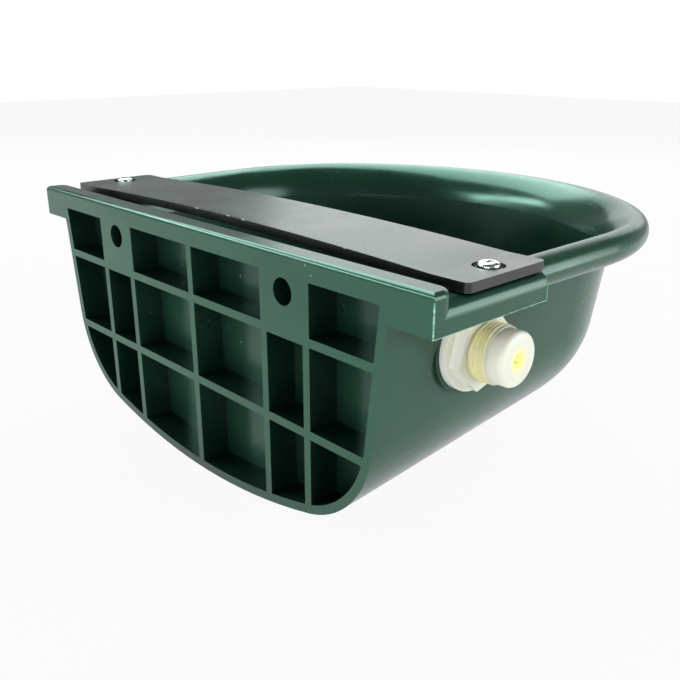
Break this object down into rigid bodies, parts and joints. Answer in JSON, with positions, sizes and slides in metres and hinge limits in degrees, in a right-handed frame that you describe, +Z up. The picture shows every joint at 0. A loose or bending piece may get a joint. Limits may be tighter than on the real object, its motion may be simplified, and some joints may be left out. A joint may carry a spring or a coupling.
{
  "type": "livestock drinking bowl",
  "caption": "Wall-mounted plastic drinking bowl with a D-shaped basin, rolled rim, bolt-on cover strip and a float valve fed through a threaded side inlet.",
  "frame": {"origin": "midway between the two wall bolt holes, on the back face", "axes": "+X along the wall towards the water inlet, +Y away from the wall, +Z up"},
  "size_m": [0.3155, 0.27, 0.1347],
  "materials": {
    "bowl": "glossy dark green polypropylene",
    "cover": "black polypropylene, satin",
    "screw": "zinc-plated steel",
    "fitting": "ivory nylon",
    "strainer": "yellowish nylon",
    "gasket": "black rubber",
    "oring": "black rubber",
    "nozzle": "brass",
    "plunger": "white acetal",
    "seal": "soft black rubber",
    "lever": "white acetal",
    "steel": "stainless steel",
    "float": "white polypropylene"
  },
  "bodies": {
    "bowl": {"bowl": "bowl", "cover_plate": "cover", "cover_screws": "screw", "valve_body": "fitting", "lock_nut": "fitting", "inlet_strainer": "strainer", "inlet_gasket": "gasket", "nozzle": "nozzle", "nozzle_oring": "oring", "pivot_pin": "steel", "pin_clip": "steel"},
    "float_arm": {"lever": "lever", "float_rod": "steel", "rod_lock_nut": "steel", "float_upper": "float", "float_lower": "float", "float_washers": "steel", "float_nuts": "steel"},
    "plunger": {"plunger": "plunger", "seal_disc": "seal", "seal_cap": "plunger"}
  },
  "joints": [
    {"name": "float_arm_hinge", "type": "hinge", "parent": "bowl", "child": "float_arm", "pos_m": [0.09419, 0.054, -0.0395], "axis": [0, 1, 0], "range_deg": [0, 22]},
    {"name": "plunger_slide", "type": "slide", "parent": "bowl", "child": "plunger", "axis": [1, 0, 0], "range_m": [0, 0.0054]}
  ],
  "couplings": [
    {"joint": "plunger_slide", "follows": "float_arm_hinge", "m_per_rad": 0.014}
  ]
}
